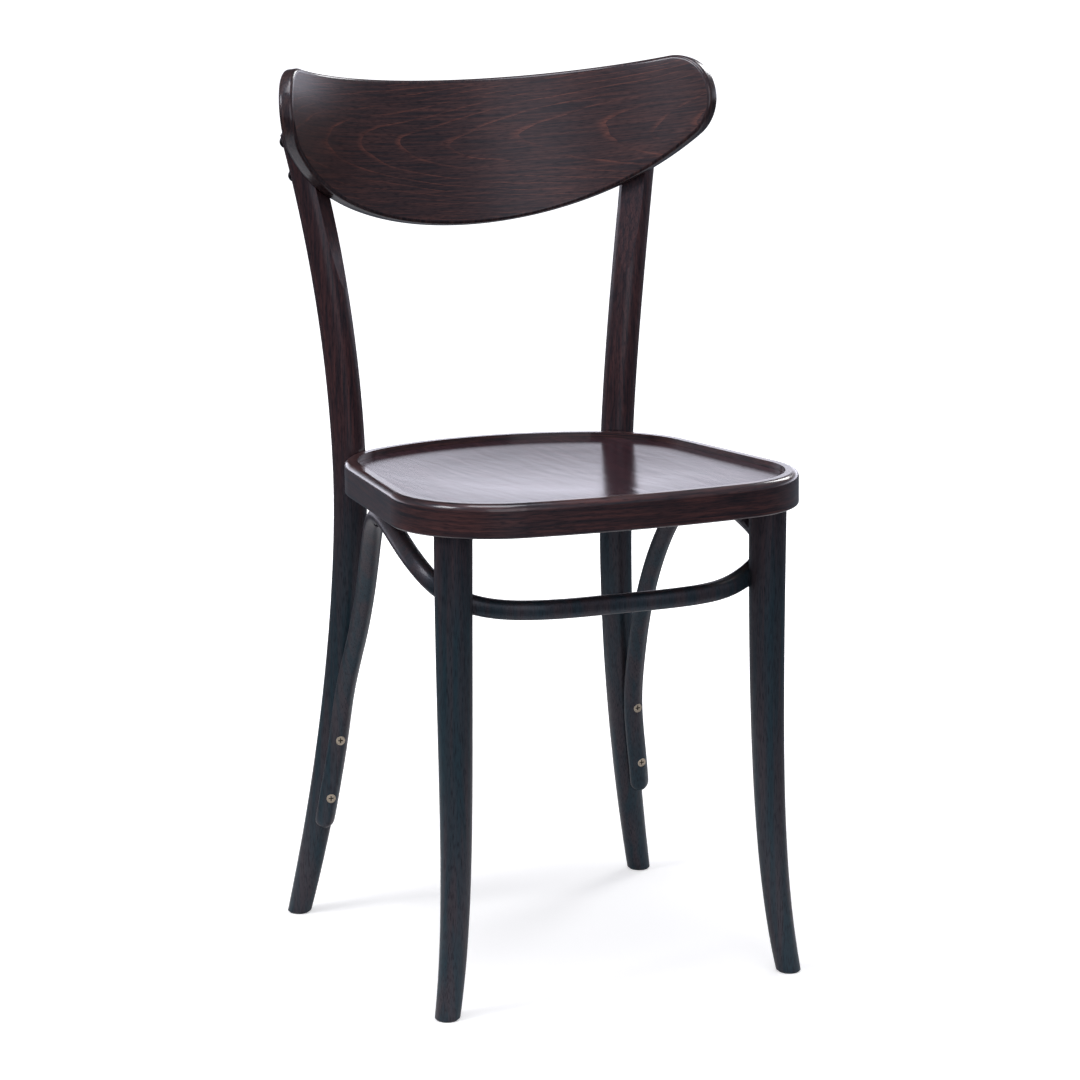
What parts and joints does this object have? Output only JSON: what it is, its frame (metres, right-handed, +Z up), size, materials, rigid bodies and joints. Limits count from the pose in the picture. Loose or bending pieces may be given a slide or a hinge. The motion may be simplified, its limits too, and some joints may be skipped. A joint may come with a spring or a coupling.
{
  "type": "dining_chair",
  "caption": "Bentwood dining chair with a rounded seat ring, let-in plywood seat, crescent backrest on bent posts and one bent brace tying the legs under the seat",
  "frame": {"origin": "on the floor, in the middle of the chair's bounding box seen from above", "axes": "+Z up, the front of the chair looks along -Y, +X is the viewer's right from the front"},
  "size_m": [0.4334, 0.4356, 0.8069],
  "materials": {
    "stained_beech": "dark stained beech, satin lacquer",
    "stained_plywood": "dark stained plywood, glossier lacquer",
    "raw_beech": "plain beech, unlacquered",
    "zinc_steel": "zinc plated",
    "black_steel": "black oxide",
    "brass": "dulled brass"
  },
  "bodies": {
    "root": {"seat_ring": "stained_beech", "backrest": "stained_beech", "rear_leg_left": "stained_beech", "rear_leg_right": "stained_beech", "front_leg_left": "stained_beech", "front_leg_right": "stained_beech", "leg_brace": "stained_beech", "seat_panel": "stained_plywood", "corner_block_left": "raw_beech", "corner_block_right": "raw_beech", "backrest_inserts": "zinc_steel", "seat_bolt_washers": "zinc_steel", "seat_bolt_inserts": "zinc_steel", "tenon_screws": "zinc_steel", "panel_screws": "zinc_steel", "brace_screws_front": "zinc_steel", "brace_screws_seat": "zinc_steel", "backrest_screws": "black_steel", "seat_bolts": "black_steel", "brace_screws_rear": "brass"}
  },
  "joints": []
}
